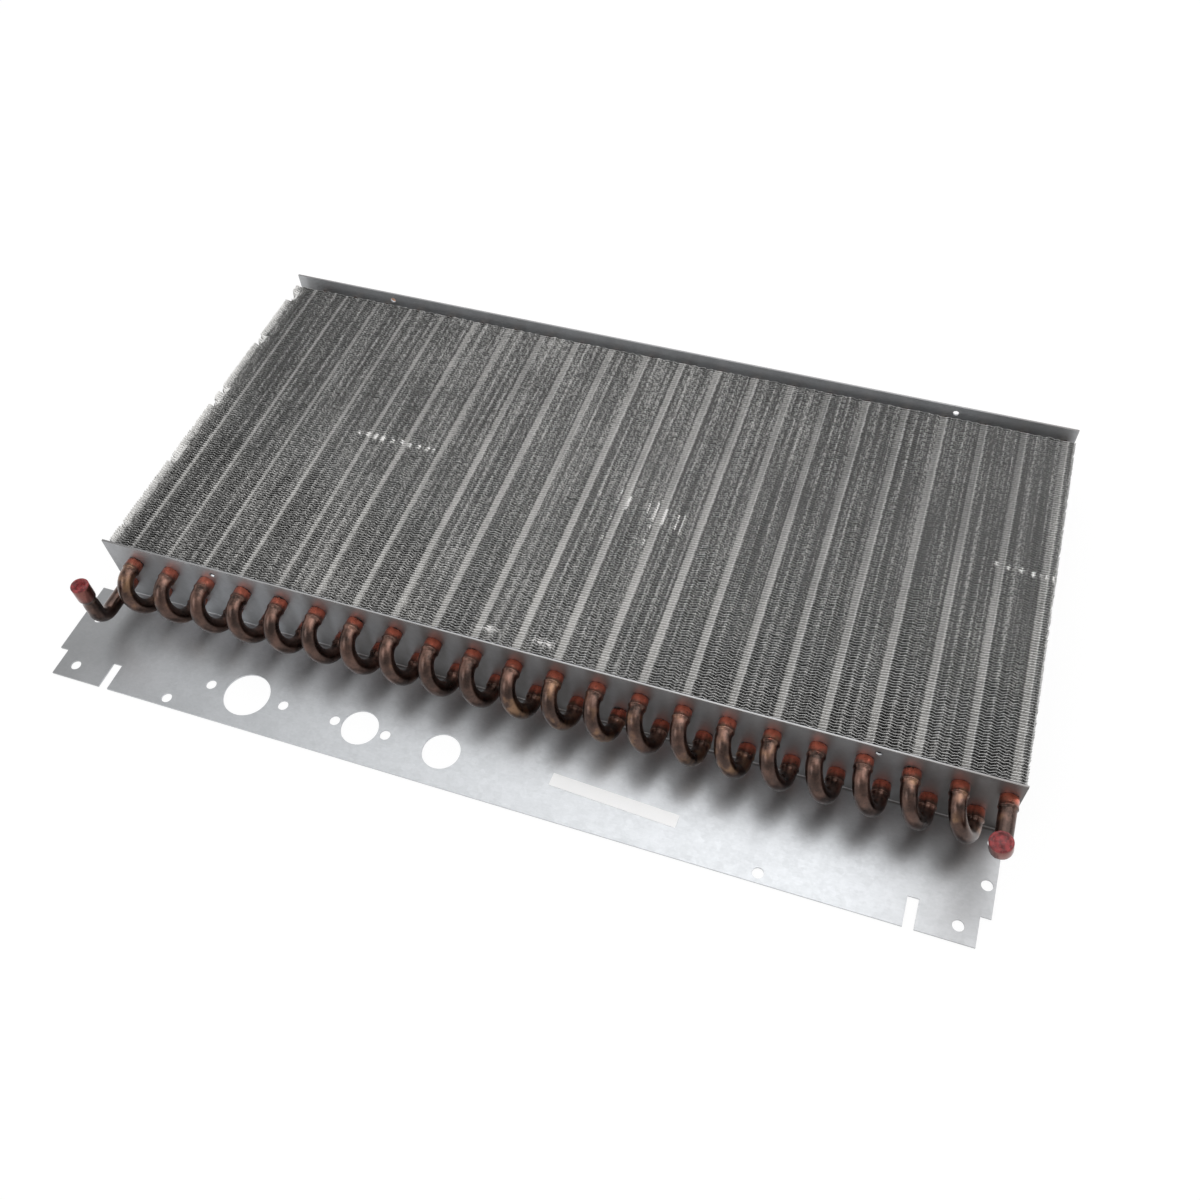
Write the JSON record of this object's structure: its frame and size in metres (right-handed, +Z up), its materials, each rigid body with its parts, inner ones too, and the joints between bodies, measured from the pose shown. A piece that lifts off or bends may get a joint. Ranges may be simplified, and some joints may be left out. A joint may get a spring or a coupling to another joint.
{
  "type": "finned condenser coil",
  "caption": "Fin and tube condenser coil lying flat, with hairpin tubes, brazed return bends, folded galvanised tube sheet and plugged open ends.",
  "frame": {"origin": "under the middle of the coil, on the plane the sheets stand on", "axes": "+X along the tube rows, +Y from the flanged sheet to the plain one, +Z up"},
  "size_m": [0.5784, 0.3548, 0.0574],
  "materials": {
    "galvanised_sheet": "dull galvanised",
    "fin_aluminium": "dull, dusty",
    "tube_copper": "oxidised copper",
    "plug_red": "satin",
    "label_white": "plain"
  },
  "bodies": {
    "root": {"near_tube_sheet": "galvanised_sheet", "far_tube_sheet": "galvanised_sheet", "fin_pack": "fin_aluminium", "hairpin_01": "tube_copper", "hairpin_02": "tube_copper", "hairpin_03": "tube_copper", "hairpin_04": "tube_copper", "hairpin_05": "tube_copper", "hairpin_06": "tube_copper", "hairpin_07": "tube_copper", "hairpin_08": "tube_copper", "hairpin_09": "tube_copper", "hairpin_10": "tube_copper", "hairpin_11": "tube_copper", "hairpin_12": "tube_copper", "hairpin_13": "tube_copper", "hairpin_14": "tube_copper", "hairpin_15": "tube_copper", "hairpin_16": "tube_copper", "hairpin_17": "tube_copper", "hairpin_18": "tube_copper", "hairpin_19": "tube_copper", "hairpin_20": "tube_copper", "hairpin_21": "tube_copper", "hairpin_22": "tube_copper", "return_bend_01": "tube_copper", "return_bend_02": "tube_copper", "return_bend_03": "tube_copper", "return_bend_04": "tube_copper", "return_bend_05": "tube_copper", "return_bend_06": "tube_copper", "return_bend_07": "tube_copper", "return_bend_08": "tube_copper", "return_bend_09": "tube_copper", "return_bend_10": "tube_copper", "return_bend_11": "tube_copper", "return_bend_12": "tube_copper", "return_bend_13": "tube_copper", "return_bend_14": "tube_copper", "return_bend_15": "tube_copper", "return_bend_16": "tube_copper", "return_bend_17": "tube_copper", "return_bend_18": "tube_copper", "return_bend_19": "tube_copper", "return_bend_20": "tube_copper", "return_bend_21": "tube_copper", "inlet_stub": "tube_copper", "outlet_stub": "tube_copper", "inlet_plug": "plug_red", "outlet_plug": "plug_red", "blank_label": "label_white"}
  },
  "joints": []
}
